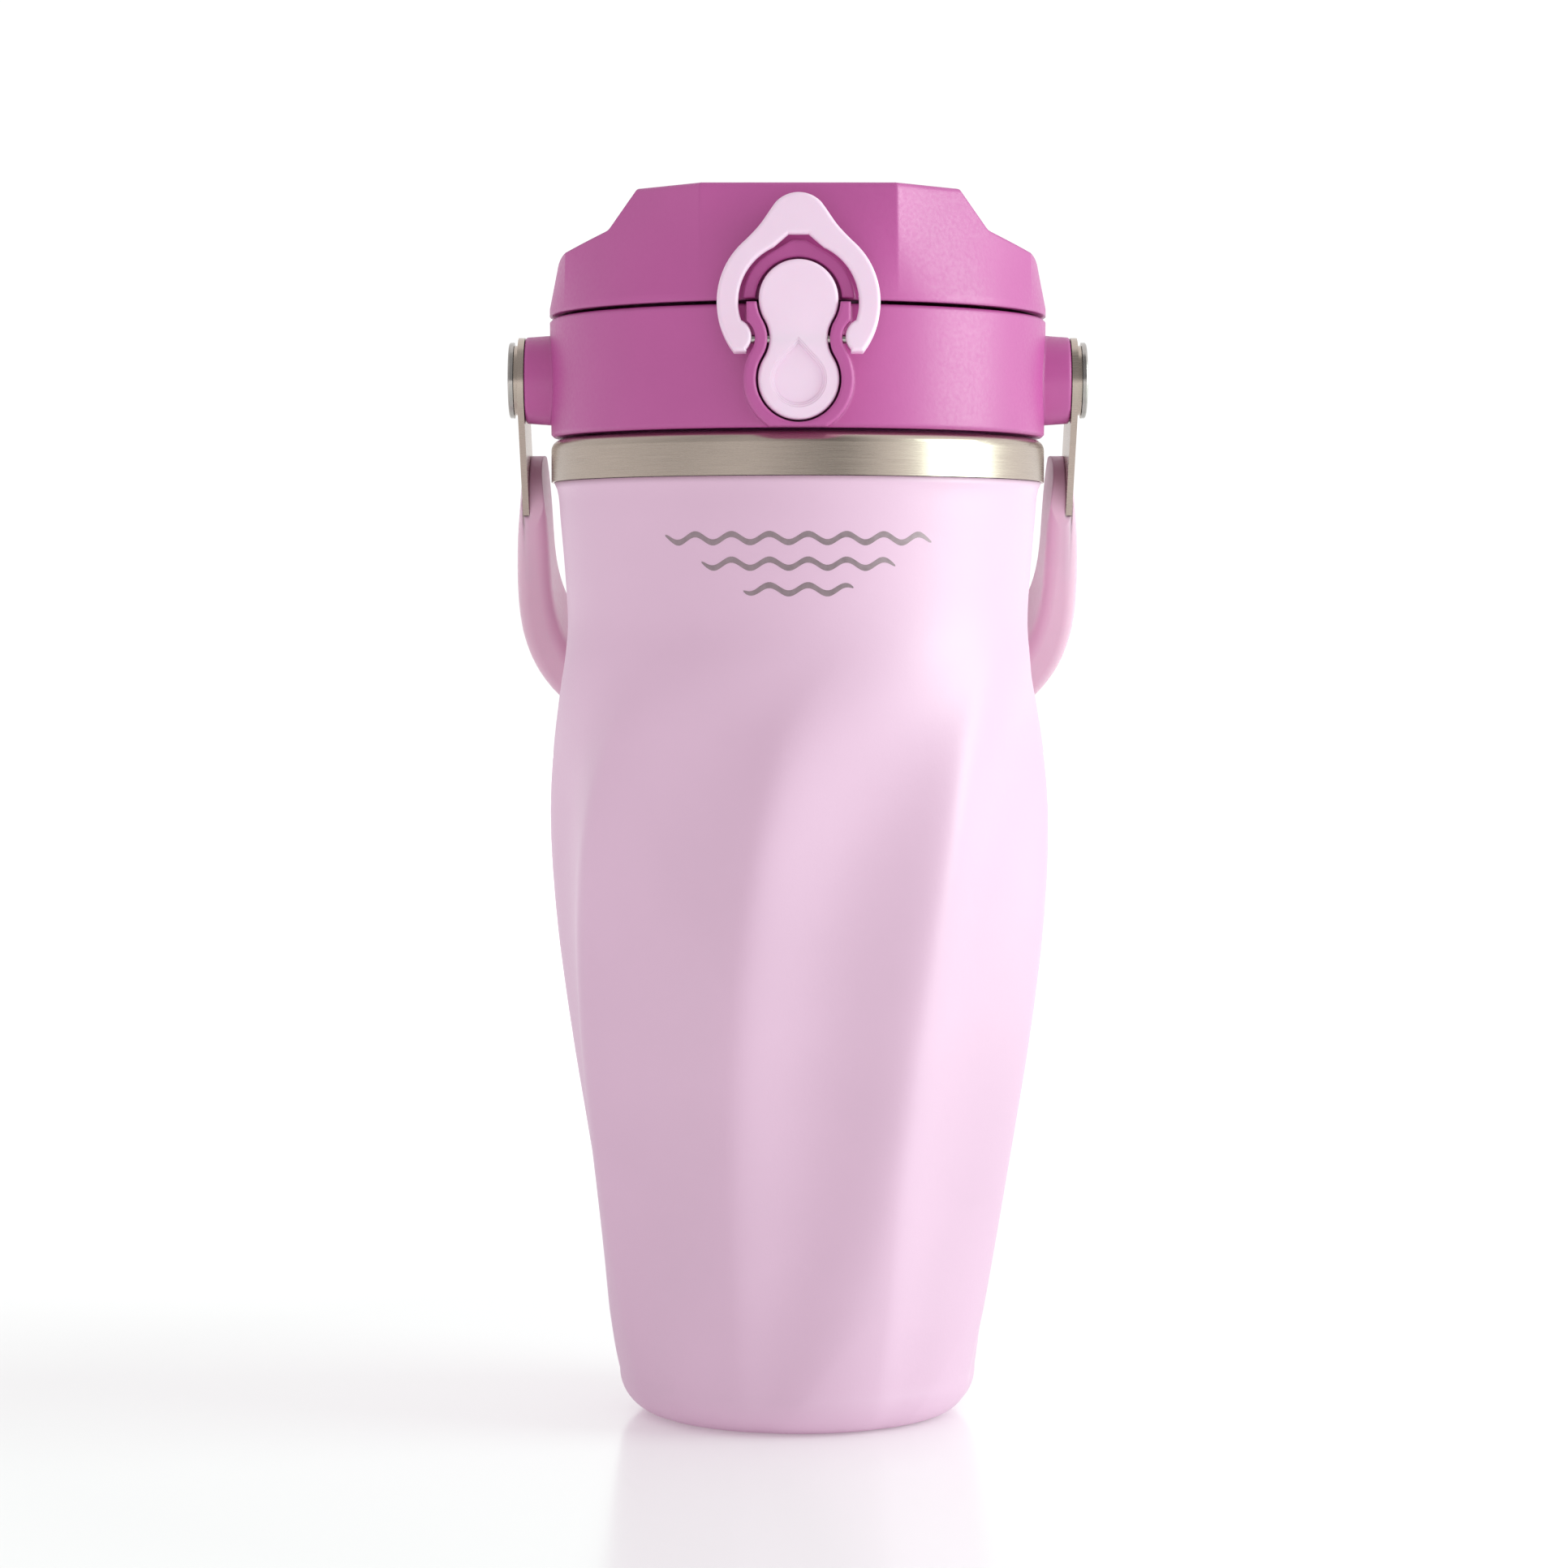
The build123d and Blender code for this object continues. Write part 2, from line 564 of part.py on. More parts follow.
def lid_plug():
    """Cup with a flange at the collar's foot, closed by the deck that carries spout and vent."""
    deck_bottom = DECK_TOP - DECK_THICKNESS
    flange_top = COLLAR_BOTTOM + PLUG_FLANGE_THICKNESS
    cup = [
        (0, deck_bottom),
        (PLUG_RADIUS - PLUG_WALL, deck_bottom),
        (PLUG_RADIUS - PLUG_WALL, PLUG_BOTTOM),
        (PLUG_RADIUS - PLUG_EDGE, PLUG_BOTTOM),
        (PLUG_RADIUS, PLUG_BOTTOM + PLUG_EDGE),
        (PLUG_RADIUS, COLLAR_BOTTOM),
        (PLUG_FLANGE_RADIUS, COLLAR_BOTTOM),
        (PLUG_FLANGE_RADIUS, flange_top),
        (PLUG_RADIUS, flange_top),
        (PLUG_RADIUS, deck_bottom),
        (PLUG_FLANGE_RADIUS, deck_bottom),
        (PLUG_FLANGE_RADIUS, DECK_TOP - PLUG_EDGE),
        (PLUG_FLANGE_RADIUS - PLUG_EDGE, DECK_TOP),
        (0, DECK_TOP),
    ]
    plug = revolved(cup)
    spout = slot_tube(SPOUT_RADIUS, DECK_TOP - 1, SPOUT_TOP, SPOUT_Y)
    plug = plug + fillet(spout.edges().group_by(Axis.Z)[-1], SPOUT_EDGE)
    vent = Pos(0, VENT_Y, 0) * tube_z(VENT_RADIUS, DECK_TOP - 1, SPOUT_TOP)
    plug = plug + fillet(vent.edges().group_by(Axis.Z)[-1], VENT_EDGE)
    plug = plug - slot_tube(SPOUT_BORE_RADIUS, DECK_TOP - 5, SPOUT_TOP + 1, SPOUT_Y)
    plug = plug - Pos(0, VENT_Y, 0) * tube_z(VENT_BORE_RADIUS, DECK_TOP - 5, SPOUT_TOP + 1)
    half_pitch = THREAD_LEAD / THREAD_STARTS / 2
    for start in thread(PLUG_RADIUS, THREAD_HEIGHT, THREAD_LINER_Z - half_pitch, 0):
        plug = plug + start
    return plug


def lid_gasket():
    gasket = ring(MOUTH_RADIUS - 0.35, PLUG_RADIUS + 0.3, GASKET_BOTTOM, GASKET_TOP)
    return fillet(gasket.edges(), GASKET_EDGE)


def mixing_grid():
    """Flat grid with a hexagonal field of round holes."""
    radius = PLUG_RADIUS - PLUG_WALL - 0.2
    grid = tube_z(radius, GRID_BOTTOM, GRID_BOTTOM + GRID_THICKNESS)
    peg = tube_z(GRID_HOLE_RADIUS, GRID_BOTTOM - 1, GRID_BOTTOM + GRID_THICKNESS + 1)
    pegs = []
    for row in range(GRID_ROWS):
        from_middle = row - (GRID_ROWS - 1) / 2
        count = GRID_ROWS - int(abs(from_middle))
        y = from_middle * GRID_PITCH * math.sqrt(0.75)
        for k in range(count):
            x = (k - (count - 1) / 2) * GRID_PITCH
            if math.hypot(x, y) < radius - GRID_HOLE_RADIUS - GRID_RIM:
                pegs.append(Pos(x, y, 0) * peg)
    return grid - pegs


def hinge_pin():
    pin = rod_x(HINGE_PIN_RADIUS, -HINGE_PIN_HALF_LENGTH, HINGE_PIN_HALF_LENGTH, HINGE_Y, HINGE_Z)
    return chamfer(pin.edges().filter_by(GeomType.CIRCLE), HINGE_PIN_CHAMFER)


def hinge_spring():
    coil = Helix(SPRING_PITCH, SPRING_LENGTH, SPRING_COIL_RADIUS)
    profile = Plane(origin=coil @ 0, x_dir=(1, 0, 0), z_dir=coil % 0) * Circle(SPRING_WIRE)
    spring = sweep(profile, path=coil, is_frenet=True)
    return Pos(-SPRING_LENGTH / 2, HINGE_Y, HINGE_Z) * Rot(0, 90, 0) * spring


def latch_pin():
    pin = rod_x(LATCH_PIN_RADIUS, -LATCH_PIN_HALF_LENGTH, LATCH_PIN_HALF_LENGTH, LATCH_PIN_Y, LATCH_PIN_Z)
    return chamfer(pin.edges().filter_by(GeomType.CIRCLE), LATCH_PIN_CHAMFER)


def button_spring():
    """Bent leaf that lies on the pocket floor behind the lower lobe."""
    floor = POCKET_FLOOR - 0.05
    leaf = list(zip((floor, floor, floor - LEAF_CROWN, floor), LEAF_Z))
    front = [(y - LEAF_THICKNESS, z) for y, z in reversed(leaf)]
    outline = make_face(Polyline(*leaf, *front, close=True))
    return extrude(Plane.YZ * outline, LEAF_HALF_WIDTH, both=True)


# ---------------------------------------------------------------- flip cover
def eight_arcs(radius, z):
    """Circle in eight arcs that meet at the corners of the cover's eight-sided top."""
    arcs = [CenterArc((0, 0), radius, 22.5 + 45 * k, 45) for k in range(8)]
    return Pos(0, 0, z) * make_face(arcs)


def cover_body(inset):
    """Eight-sided at the top, fading to round at the rim, with a shoulder cut from each side."""
    bottom = COVER_BOTTOM - (1 if inset else 0)
    eight_sided = RegularPolygon(COVER_TOP_APOTHEM - inset, 8, major_radius=False, rotation=22.5)
    top = Pos(0, 0, TOTAL_HEIGHT - inset) * eight_sided
    form = loft([eight_arcs(COVER_RADIUS - inset, FACET_START), top], ruled=True)
    form = form + tube_z(COVER_RADIUS - inset, bottom, FACET_START)
    half = [
        (SHOULDER_TOP_X, TOTAL_HEIGHT),
        SHOULDER_INNER,
        SHOULDER_OUTER,
        (COVER_RADIUS, FACET_START),
        (COVER_RADIUS, COVER_BOTTOM - 3),
    ]
    side = mirrored_outline(half)
    for corner, radius in ((SHOULDER_OUTER, SHOULDER_OUTER_RADIUS), (SHOULDER_INNER, SHOULDER_INNER_RADIUS)):
        both_corners = side.vertices().filter_by_position(Axis.Y, corner[1] - 0.01, corner[1] + 0.01)
        side = fillet(both_corners, radius)
    if inset:
        side = offset(side, amount=-inset, kind=Kind.ARC)
    return form & plate_xz(side, -60, 60)


def cover_arch():
    """Hood round the top of the button."""
    plate = plate_xz(arch_outline(), 0, ARCH_DEPTH)
    front = plate.faces().sort_by(Axis.Y)[0]
    plate = fillet(front.edges(), ARCH_EDGE)
    return leaning(plate, ARCH_FRONT) & block(-20, 20, -60, 0, ARCH_BOTTOM, TOTAL_HEIGHT)


def flip_cover():
    cover = cover_body(0)
    top_edges = cover.edges().group_by(Axis.Z)[-1]
    cover = fillet(top_edges, COVER_EDGE) + cover_arch()
    for side in (-1, 1):
        knuckle_x = sorted((side * COVER_KNUCKLE_X[0], side * COVER_KNUCKLE_X[1]))
        cover = cover + rod_x(KNUCKLE_RADIUS, *knuckle_x, HINGE_Y, HINGE_Z)
        cover = cover + block(*knuckle_x, COVER_RADIUS - 3, HINGE_Y, COVER_BOTTOM, HINGE_Z + KNUCKLE_RADIUS)
        ear_x = sorted((side * (COLLAR_EAR_X[0] - EAR_GAP), side * (COLLAR_EAR_X[1] + EAR_GAP)))
        cover = cover - rod_x(KNUCKLE_RADIUS + KNUCKLE_CLEARANCE, *ear_x, HINGE_Y, HINGE_Z)
    spring_gap = COVER_KNUCKLE_X[0]
    cover = cover - rod_x(KNUCKLE_RADIUS - 0.4, -spring_gap, spring_gap, HINGE_Y, HINGE_Z)
    mount = block(-HINGE_MOUNT_X, HINGE_MOUNT_X, COVER_RADIUS - HINGE_MOUNT, 60, 200, HINGE_Z + 4)
    cover = cover - (cover_body(COVER_WALL) - mount)
    return cover - rod_x(HINGE_PIN_RADIUS + SHAFT_CLEARANCE, -20, 20, HINGE_Y, HINGE_Z)


def spout_seal():
    top = TOTAL_HEIGHT - COVER_WALL - 0.05
    pad = slot_tube(SPOUT_RADIUS + SEAL_PAD_RIM, SPOUT_TOP + SEAL_PAD_LIFT, top, SPOUT_Y)
    return pad + slot_tube(SPOUT_RADIUS - 0.6, SPOUT_TOP + SEAL_LIFT, top, SPOUT_Y)


def vent_seal():
    top = TOTAL_HEIGHT - COVER_WALL - 0.05
    pad = tube_z(VENT_RADIUS + SEAL_PAD_RIM, SPOUT_TOP + SEAL_PAD_LIFT, top)
    return Pos(0, VENT_Y, 0) * (pad + tube_z(VENT_RADIUS - 0.4, SPOUT_TOP + SEAL_LIFT, top))


# ---------------------------------------------------------------- latch
def drop_face(grow):
    """Drop with a straight-sided tip above a round bowl."""
    radius = DROP_RADIUS + grow
    reach = DROP_TIP_Z - LOWER_LOBE_Z + 1.4 * grow
    touch_x = radius * math.sqrt(1 - (radius / reach) ** 2)
    touch_z = LOWER_LOBE_Z + radius**2 / reach
    points = [(0, LOWER_LOBE_Z + reach), (-touch_x, touch_z), (touch_x, touch_z)]
    return circle_at(radius, 0, LOWER_LOBE_Z) + make_face(Polyline(*points, close=True))


def latch_button():
    button = plate_xz(peanut(0), BUTTON_FRONT, BUTTON_BACK)
    front = button.faces().sort_by(Axis.Y)[0]
    button = fillet(front.edges(), BUTTON_EDGE)
    steps = [(-DROP_SLOPE, DROP_DEPTH), (-DROP_SLOPE / 2, DROP_DEPTH * 0.6), (0.0, DROP_DEPTH * 0.2)]
    for grow, depth in steps:
        button = button - plate_xz(drop_face(grow), BUTTON_FRONT - 1, BUTTON_FRONT + depth)
    nose = block(-NOSE_HALF_WIDTH, NOSE_HALF_WIDTH, BUTTON_BACK - 0.5, BUTTON_BACK + 0.5, *NOSE_Z)
    return button + nose - rod_x(LATCH_PIN_RADIUS + SHAFT_CLEARANCE, -12, 12, LATCH_PIN_Y, LATCH_PIN_Z)


def lock_ring():
    plate = plate_xz(lock_ring_outline(), -RING_THICKNESS, 0)
    front = plate.faces().sort_by(Axis.Y)[0]
    plate = fillet(front.edges(), RING_EDGE)
    plate = plate - block(-RING_RELIEF_X, RING_RELIEF_X, -RING_RELIEF, 1, RING_RELIEF_Z, RING_TIP_Z + 2)
    bail = leaning(plate, RING_BACK)
    return bail - rod_x(LATCH_PIN_RADIUS + SHAFT_CLEARANCE, -10.4, 10.4, LATCH_PIN_Y, LATCH_PIN_Z)


# ---------------------------------------------------------------- handle
def placed(shape):
    """Turn a handle part from hanging straight down to its rest lean."""
    return Pos(0, 0, PIVOT_Z) * Rot(HANDLE_REST_ANGLE, 0, 0) * shape


def strap(side):
    blade = Pos(0, -STRAP_LENGTH / 2) * Rectangle(2 * STRAP_EYE_RADIUS, STRAP_LENGTH)
    blade = fillet(blade.vertices().group_by(Axis.Y)[0], STRAP_CORNER)
    outline = Circle(STRAP_EYE_RADIUS) + blade - Circle(RIVET_SHANK_RADIUS + SHAFT_CLEARANCE)
    outer_x = STRAP_INNER_X + STRAP_THICKNESS
    start = STRAP_INNER_X if side > 0 else -outer_x
    return placed(Pos(start, 0, 0) * extrude(Plane.YZ * outline, STRAP_THICKNESS))


def grip_edge(arm, bend):
    """One side of the grip's front view, down one arm, round the bar and up the other."""
    half_width, depth, centre_u, power = bend
    half = [(x, -u) for x, u in arm]
    for angle in GRIP_BEND_ANGLES:
        across = math.cos(math.radians(angle)) ** (2 / power)
        down = math.sin(math.radians(angle)) ** (2 / power)
        half.append((half_width * across, -centre_u - depth * down))
    return Spline(*half, (0, -centre_u - depth), *[(-x, y) for x, y in reversed(half)])


def handle_grip():
    """Rounded bar lofted down one arm, across and up the other, with domed tips and strap slots."""
    outer = grip_edge(GRIP_OUTER_ARM, GRIP_OUTER_BEND)
    inner = grip_edge(GRIP_INNER_ARM, GRIP_INNER_BEND)
    sections = []
    for k in range(GRIP_SECTIONS + 1):
        edge = outer @ (k / GRIP_SECTIONS)
        back = inner @ (k / GRIP_SECTIONS)
        across = edge - back
        station = Plane(origin=(edge + back) / 2, x_dir=(0, 0, 1), z_dir=(across.Y, -across.X, 0))
        edge_radius = min(GRIP_EDGE, GRIP_EDGE_SHARE * across.length)
        sections.append(station * RectangleRounded(GRIP_WIDTH, across.length, edge_radius))
    grip = Plane.XZ * loft(sections)
    tip = GRIP_OUTER_ARM[0][1] + GRIP_WIDTH / 2
    side_view = rod_x(GRIP_WIDTH / 2, -60, 60, 0, -tip) + block(-60, 60, -20, 20, -100, -tip)
    grip = grip & side_view
    half_slot = STRAP_EYE_RADIUS + 0.05
    for side in (-1, 1):
        slot = sorted((side * (STRAP_INNER_X - 0.05), side * (STRAP_INNER_X + STRAP_THICKNESS + 0.05)))
        grip = grip - block(*slot, -half_slot, half_slot, -STRAP_LENGTH - 0.1, 0)
    return placed(grip)


def on_side(shape, side):
    """A right-hand piece, or its mirror image on the left."""
    return shape if side > 0 else mirror(shape, Plane.YZ)


def pivot_rivet(side):
    head = rod_x(RIVET_HEAD_RADIUS, *RIVET_HEAD_X, 0, PIVOT_Z)
    head = fillet(head.edges().sort_by(Axis.X)[-1], RIVET_EDGE)
    face_x = RIVET_HEAD_X[1]
    groove = rod_x(RIVET_GROOVE_RADII[1], face_x - RIVET_GROOVE_DEPTH, face_x + 1, 0, PIVOT_Z)
    groove = groove - rod_x(RIVET_GROOVE_RADII[0], face_x - 1, face_x + 1, 0, PIVOT_Z)
    shank = rod_x(RIVET_SHANK_RADIUS, SLEEVE_INNER_X, RIVET_HEAD_X[0] + 0.2, 0, PIVOT_Z)
    return on_side(head - groove + shank, side)


def pivot_washer(side):
    disc = rod_x(WASHER_RADIUS, *WASHER_X, 0, PIVOT_Z)
    return on_side(disc - rod_x(RIVET_SHANK_RADIUS + SHAFT_CLEARANCE, 50, 56, 0, PIVOT_Z), side)


def pivot_sleeve(side):
    sleeve = rod_x(SLEEVE_RADIUS, SLEEVE_INNER_X, BOSS_END_X - 0.1, 0, PIVOT_Z)
    return on_side(sleeve - rod_x(RIVET_SHANK_RADIUS + SHAFT_CLEARANCE, 40, 56, 0, PIVOT_Z), side)


# ---------------------------------------------------------------- write the pieces
PIECES = {
    "outer_shell": outer_shell,
    "base_plate": base_plate,
    "inner_liner": inner_liner,
    "rim_band": rim_band,
    "vacuum_getter": vacuum_getter,
    "lid_gasket": lid_gasket,
    "lid_collar": lid_collar,
    "lid_plug": lid_plug,
    "mixing_grid": mixing_grid,
    "hinge_pin": hinge_pin,
    "hinge_spring": hinge_spring,
    "latch_pin": latch_pin,
    "button_spring": button_spring,
    "flip_cover": flip_cover,
    "spout_seal": spout_seal,
    "vent_seal": vent_seal,
    "latch_button": latch_button,
    "lock_ring": lock_ring,
    "handle_grip": handle_grip,
}
SIDED_PIECES = {
    "strap": strap,
    "pivot_rivet": pivot_rivet,
    "pivot_washer": pivot_washer,
    "pivot_sleeve": pivot_sleeve,
}


def main():
    os.makedirs("parts", exist_ok=True)
    for node, make in PIECES.items():
        save(make(), node)
    for node, make in SIDED_PIECES.items():
        save(make(-1), f"{node}_left")
        save(make(1), f"{node}_right")


main()
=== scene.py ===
import bpy
import json
import math
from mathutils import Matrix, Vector


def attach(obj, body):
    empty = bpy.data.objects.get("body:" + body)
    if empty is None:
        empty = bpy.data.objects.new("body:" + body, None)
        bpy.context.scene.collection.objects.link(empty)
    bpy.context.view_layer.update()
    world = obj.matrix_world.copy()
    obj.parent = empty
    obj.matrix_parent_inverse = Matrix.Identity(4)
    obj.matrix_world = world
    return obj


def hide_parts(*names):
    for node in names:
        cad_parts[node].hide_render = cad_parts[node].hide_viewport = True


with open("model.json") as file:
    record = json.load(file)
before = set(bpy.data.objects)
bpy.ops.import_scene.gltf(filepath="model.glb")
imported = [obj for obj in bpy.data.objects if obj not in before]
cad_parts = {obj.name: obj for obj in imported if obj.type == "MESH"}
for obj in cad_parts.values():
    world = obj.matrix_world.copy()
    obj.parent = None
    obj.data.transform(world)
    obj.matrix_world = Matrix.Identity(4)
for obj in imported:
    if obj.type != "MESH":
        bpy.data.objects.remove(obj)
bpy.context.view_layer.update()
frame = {"nodes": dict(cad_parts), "record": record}

# Looks of an insulated shaker bottle. +Z up, the latch faces -Y. Metres, apart from the wall and the
# waves, whose sizes are in millimetres and are turned into metres by MM.
MM = 0.001

# ---------------------------------------------------------------- driving dimensions
# fluted outer wall, by the CAD wall's own numbers and formula
FLUTES = 8
SHELL_WALL = 0.7
BASE_CORNER = 8.0
BASE_HOLE_RADIUS = 24.6
RIDGE_START = -20.0          # angle of one ridge from the front, at the foot
RIDGE_LEAN = 14.5            # turn at TWIST_TOP, growing with the square of the height
RIDGE_CURL = 1.5             # extra turn that only shows near the shoulder
CURL_POWER = 14
CURL_LIMIT = 1.2             # the turn ends at this share of the way from TWIST_BOTTOM to TWIST_TOP
TWIST_BOTTOM = 15.0
TWIST_TOP = 126.0
RIDGE_ROUNDING_FOOT = 0.34   # share of half a flute over which a ridge is rounded
RIDGE_ROUNDING_TOP = 0.17
FLUTE_SLANT_FOOT = 20.0      # how much higher a flute starts at its right side than in its middle
FLUTE_SLANT_TOP = 4.0        # how much higher it ends there

# height, radius at the ridges, flute depth
BODY_PROFILE = [
    (8.0, 34.0, 0.0),
    (14.0, 35.4, 0.6),
    (21.0, 37.0, 1.5),
    (36.0, 39.7, 3.2),
    (52.0, 42.3, 4.0),
    (70.0, 45.0, 4.4),
    (88.0, 47.05, 4.6),
    (101.0, 47.85, 4.65),
    (112.0, 47.95, 4.35),
    (120.0, 47.45, 3.55),
    (128.0, 46.5, 2.3),
    (135.0, 45.5, 1.05),
    (142.0, 44.6, 0.25),
    (150.0, 43.7, 0.0),
    (160.0, 44.2, 0.0),
    (170.0, 45.05, 0.0),
    (175.0, 45.5, 0.0),
    (176.8, 46.2, 0.0),
]
SHELL_TOP = BODY_PROFILE[-1][0]

# fineness of the wall's mesh
WALL_COLUMNS = 288
WALL_ROW = 1.2               # height of a row
CORNER_STEP = 6              # degrees of a row round the base corner

# etched waves on the neck: height, length
WAVES = [
    (165.6, 51.0),
    (161.0, 36.0),
    (156.4, 20.0),
]
WAVE_PITCH = 7.0
WAVE_HEIGHT = 0.75
WAVE_HALF_WIDTH = 0.55
WAVE_TAPER = 3.0             # length over which each end narrows
WAVE_TIP = 0.25              # width of a tip, as a share of the full width
WAVE_SKIN = (0.03, -0.05)    # how far the front and the back lie outside the wall's face
WAVE_STEPS_PER_MM = 2

# camera, looking along +Y and TILT degrees down; the lens and the sensor are in millimetres
EYE = (-0.0026, -0.806, 0.151)
TILT = 2.23
LENS = 97.1
SENSOR = 36.0

# floor, which glows from the first level to the second between two distances from the origin
FLOOR_HALF = 4.0
GLOW_DISTANCE = (0.15, 1.2)
GLOW_LEVEL = (0.17, 0.75)

# large soft light on the right
KEY_PLACE = (0.85, -0.16, 0.34)
KEY_TARGET = (0, 0, 0.11)
KEY_SIZE = (0.55, 0.6)
KEY_POWER = 4.7
KEY_COLOR = (0.86, 1.1, 0.98)

# surroundings: their strength as they are seen and as they light the object
WORLD_SEEN = 1.05
WORLD_LIGHTING = 0.675
# what glossy surfaces mirror of them: degrees round from the front, brightness; white at the back
SURROUNDINGS = [
    (-139, 0.75),
    (-96, 0.68),
    (-52, 0.45),
    (-22, 0.62),
    (4, 0.3),
    (20, 0.1),
    (46, 0.85),
    (75, 1.0),
]

WHITE = (1.0, 1.0, 1.0)
# the part of a noise texture's range that holds nearly all of its values
NOISE_LOW = 0.3
NOISE_HIGH = 0.7


# ---------------------------------------------------------------- materials
class Nodes:
    """The node tree of a material or world under construction."""

    def __init__(self, owner):
        owner.use_nodes = True
        self.tree = owner.node_tree

    def node(self, kind, **settings):
        made = self.tree.nodes.new(kind)
        for key, value in settings.items():
            setattr(made, key, value)
        return made

    def link(self, source, target):
        self.tree.links.new(source, target)

    def split(self, vector):
        """The X, Y and Z of a vector."""
        made = self.node("ShaderNodeSeparateXYZ")
        self.link(vector, made.inputs["Vector"])
        return made.outputs

    def angle(self, y, x):
        """The angle, in radians, at which the point x, y stands round the origin."""
        made = self.node("ShaderNodeMath", operation="ARCTAN2")
        self.link(y, made.inputs[0])
        self.link(x, made.inputs[1])
        return made.outputs["Value"]

    def ranged(self, source, source_range, target_range):
        """Map the values of source from one range to another."""
        made = self.node("ShaderNodeMapRange")
        made.inputs["From Min"].default_value, made.inputs["From Max"].default_value = source_range
        made.inputs["To Min"].default_value, made.inputs["To Max"].default_value = target_range
        self.link(source, made.inputs["Value"])
        return made.outputs["Result"]


class Look(Nodes):
    """A node material, with its principled shader and object coordinates."""

    def __init__(self, name, color, roughness, metallic=0.0):
        self.color = color
        self.material = bpy.data.materials.new(name)
        super().__init__(self.material)
        self.shader = self.tree.nodes["Principled BSDF"]
        self.fix("Base Color", (*color, 1))
        self.fix("Roughness", roughness)
        self.fix("Metallic", metallic)
        self.coords = self.node("ShaderNodeTexCoord").outputs["Object"]

    def fix(self, socket, value):
        """Set a value that is the same all over the surface."""
        self.shader.inputs[socket].default_value = value

    def noise(self, scale, detail=2.0, stretch=(1, 1, 1), coords=None):
        """A noise texture on stretched coordinates."""
        stretched = self.node("ShaderNodeMapping")
        stretched.inputs["Scale"].default_value = stretch
        self.link(coords or self.coords, stretched.inputs["Vector"])
        made = self.node("ShaderNodeTexNoise")
        made.inputs["Scale"].default_value = scale
        made.inputs["Detail"].default_value = detail
        self.link(stretched.outputs["Vector"], made.inputs["Vector"])
        return made.outputs["Fac"]

    def tint(self, texture, dark, light):
        """Vary the base colour between a darker and a lighter shade of the look's colour."""
        made = self.node("ShaderNodeValToRGB")
        low, high = made.color_ramp.elements
        low.position, low.color = NOISE_LOW, (*shade(self.color, dark), 1)
        high.position, high.color = NOISE_HIGH, (*shade(self.color, light), 1)
        self.link(texture, made.inputs["Fac"])
        self.link(made.outputs["Color"], self.shader.inputs["Base Color"])

    def roughen(self, texture, low, high):
        """Vary the roughness between two values."""
        rough = self.ranged(texture, (NOISE_LOW, NOISE_HIGH), (low, high))
        self.link(rough, self.shader.inputs["Roughness"])

    def soft_edges(self, radius):
        """Normal that rounds the sharp edges of the mesh."""
        made = self.node("ShaderNodeBevel", samples=6)
        made.inputs["Radius"].default_value = radius
        return made.outputs["Normal"]

    def bump(self, *layers, normal=None):
        """Stack bump layers, each (texture, depth in metres, strength)."""
        for source, depth, strength in layers:
            made = self.node("ShaderNodeBump")
            made.inputs["Distance"].default_value = depth
            made.inputs["Strength"].default_value = strength
            self.link(source, made.inputs["Height"])
            if normal is not None:
                self.link(normal, made.inputs["Normal"])
            normal = made.outputs["Normal"]
        self.link(normal, self.shader.inputs["Normal"])


def shade(color, factor):
    return tuple(min(1.0, c * factor) for c in color)


def powder_coat():
    """Matt paint with a fine pebbled grain."""
    look = Look("powder_coat", (0.80, 0.52, 0.70), 0.42)
    look.fix("Specular IOR Level", 0.7)
    grain = look.noise(2600.0)
    pebbles = look.noise(420.0)
    look.tint(look.noise(28.0, detail=3.0), dark=0.975, light=1.02)
    look.roughen(grain, low=0.38, high=0.50)
    look.bump((pebbles, 0.06 * MM, 0.35), (grain, 0.02 * MM, 0.5))
    return look.material


def moulded_plastic(name, color, roughness, grain_scale, grain_depth, edge, subsurface=0.0):
    """Moulded plastic or rubber with a fine grain and softened edges."""
    look = Look(name, color, roughness)
    look.fix("Specular IOR Level", 0.75)
    if subsurface:
        look.fix("Subsurface Weight", subsurface)
        look.fix("Subsurface Radius", (1.0, 0.55, 0.7))
        look.fix("Subsurface Scale", 2 * MM)
    grain = look.noise(grain_scale, detail=3.0)
    look.tint(look.noise(35.0, detail=3.0), dark=0.95, light=1.04)
    look.roughen(grain, low=roughness - 0.06, high=roughness + 0.08)
    look.bump((grain, grain_depth, 0.6), normal=look.soft_edges(edge))
    return look.material


def turned_steel(name, color, roughness):
    """Steel brushed round the Z axis: fine streaks that follow the circumference."""
    look = Look(name, color, roughness, metallic=1.0)
    place = look.split(look.coords)
    unrolled = look.node("ShaderNodeCombineXYZ")
    look.link(look.angle(place["Y"], place["X"]), unrolled.inputs["X"])
    look.link(place["Z"], unrolled.inputs["Z"])
    fine = look.noise(1.0, detail=3.0, stretch=(4.0, 1, 16000.0), coords=unrolled.outputs["Vector"])
    coarse = look.noise(1.0, detail=3.0, stretch=(9.0, 1, 9000.0), coords=unrolled.outputs["Vector"])
    look.tint(fine, dark=0.93, light=1.04)
    look.roughen(fine, low=roughness - 0.04, high=roughness + 0.05)
    look.bump((fine, 0.006 * MM, 0.5), (coarse, 0.006 * MM, 0.5))
    return look.material


def plain_steel(name, color, roughness):
    """Smooth steel with faint clouding."""
    look = Look(name, color, roughness, metallic=1.0)
    clouds = look.noise(600.0, detail=3.0)
    look.tint(clouds, dark=0.9, light=1.05)
    look.roughen(clouds, low=roughness - 0.05, high=roughness + 0.08)
    look.bump((clouds, 0.01 * MM, 0.4))
    return look.material


